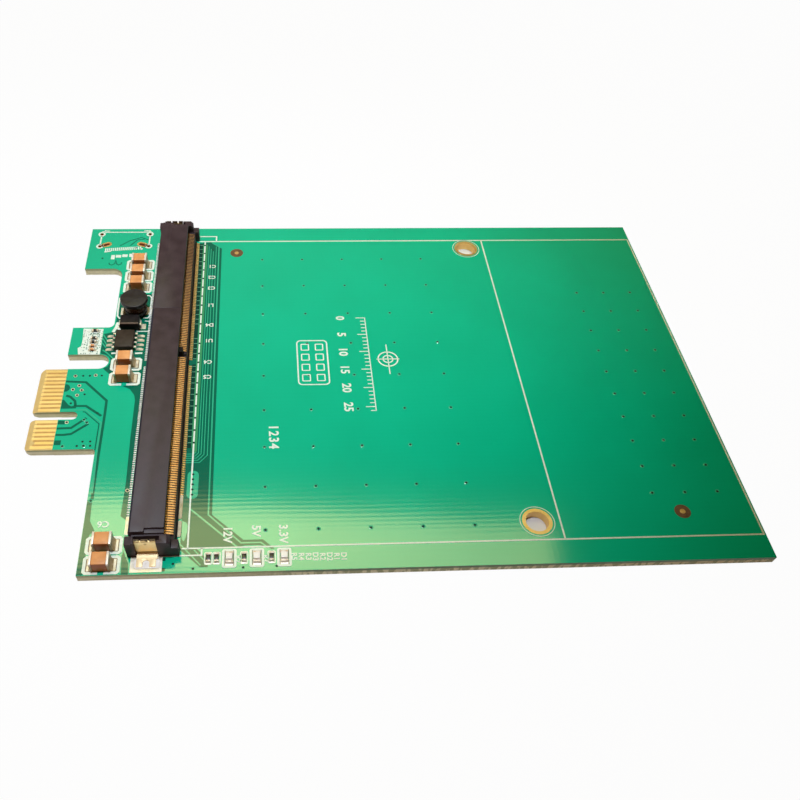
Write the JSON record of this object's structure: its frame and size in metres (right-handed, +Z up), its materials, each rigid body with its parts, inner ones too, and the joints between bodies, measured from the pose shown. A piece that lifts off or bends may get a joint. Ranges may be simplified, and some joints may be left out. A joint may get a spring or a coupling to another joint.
{
  "type": "mxm adapter card",
  "caption": "Flat circuit board that joins a graphics module to a small edge connector: keyed finger tab, long low module slot, mounting holes and small power parts.",
  "frame": {"origin": "under the middle of the card, on the plane of its lower face", "axes": "+X along the card away from its edge fingers, +Y away from its front edge, +Z up through the board"},
  "size_m": [0.13, 0.0914, 0.0067],
  "materials": {
    "board_mask": "glossy green solder mask over copper on glass-epoxy laminate",
    "gold_plate": "thin gold plating, satin",
    "spring_gold": "gold-plated spring strip",
    "tin": "reflowed tin, soft shine",
    "housing_plastic": "black moulded thermoplastic, fine matte grain",
    "black_mould": "black moulding compound, matte",
    "ferrite": "pressed ferrite, matte",
    "copper_wire": "enamelled copper wire",
    "capacitor_ceramic": "sintered ceramic, semi-matte",
    "resistor_film": "black glaze",
    "carrier_white": "white moulded carrier",
    "lens_resin": "clear cast resin"
  },
  "bodies": {
    "root": {"capacitor_1": "capacitor_ceramic", "capacitor_1_ends": "tin", "capacitor_2": "capacitor_ceramic", "capacitor_2_ends": "tin", "capacitor_3": "capacitor_ceramic", "capacitor_3_ends": "tin", "capacitor_4": "capacitor_ceramic", "capacitor_4_ends": "tin", "capacitor_5": "capacitor_ceramic", "capacitor_5_ends": "tin", "capacitor_6": "capacitor_ceramic", "capacitor_6_ends": "tin", "capacitor_7": "capacitor_ceramic", "capacitor_7_ends": "tin", "circuit_board": "board_mask", "diode_body": "black_mould", "diode_leads": "tin", "edge_fingers_bottom": "gold_plate", "edge_fingers_top": "gold_plate", "hold_down_far": "tin", "hold_down_near": "tin", "hole_rings": "gold_plate", "inductor_core": "ferrite", "inductor_terminals": "tin", "inductor_winding": "copper_wire", "led_1": "carrier_white", "led_1_ends": "tin", "led_1_lens": "lens_resin", "led_2": "carrier_white", "led_2_ends": "tin", "led_2_lens": "lens_resin", "led_3": "carrier_white", "led_3_ends": "tin", "led_3_lens": "lens_resin", "led_resistor_1": "resistor_film", "led_resistor_1_ends": "tin", "led_resistor_2": "resistor_film", "led_resistor_2_ends": "tin", "led_resistor_3": "resistor_film", "led_resistor_3_ends": "tin", "led_resistor_4": "resistor_film", "led_resistor_4_ends": "tin", "regulator_body": "black_mould", "regulator_leads": "tin", "slot_contacts_lower": "spring_gold", "slot_contacts_upper": "spring_gold", "slot_housing": "housing_plastic", "solder_lands": "tin", "tab_capacitor_1": "capacitor_ceramic", "tab_capacitor_1_ends": "tin", "tab_capacitor_2": "capacitor_ceramic", "tab_capacitor_2_ends": "tin", "tab_resistor_1": "resistor_film", "tab_resistor_1_ends": "tin", "tab_resistor_2": "resistor_film", "tab_resistor_2_ends": "tin", "tab_resistor_3": "resistor_film", "tab_resistor_3_ends": "tin"}
  },
  "joints": []
}
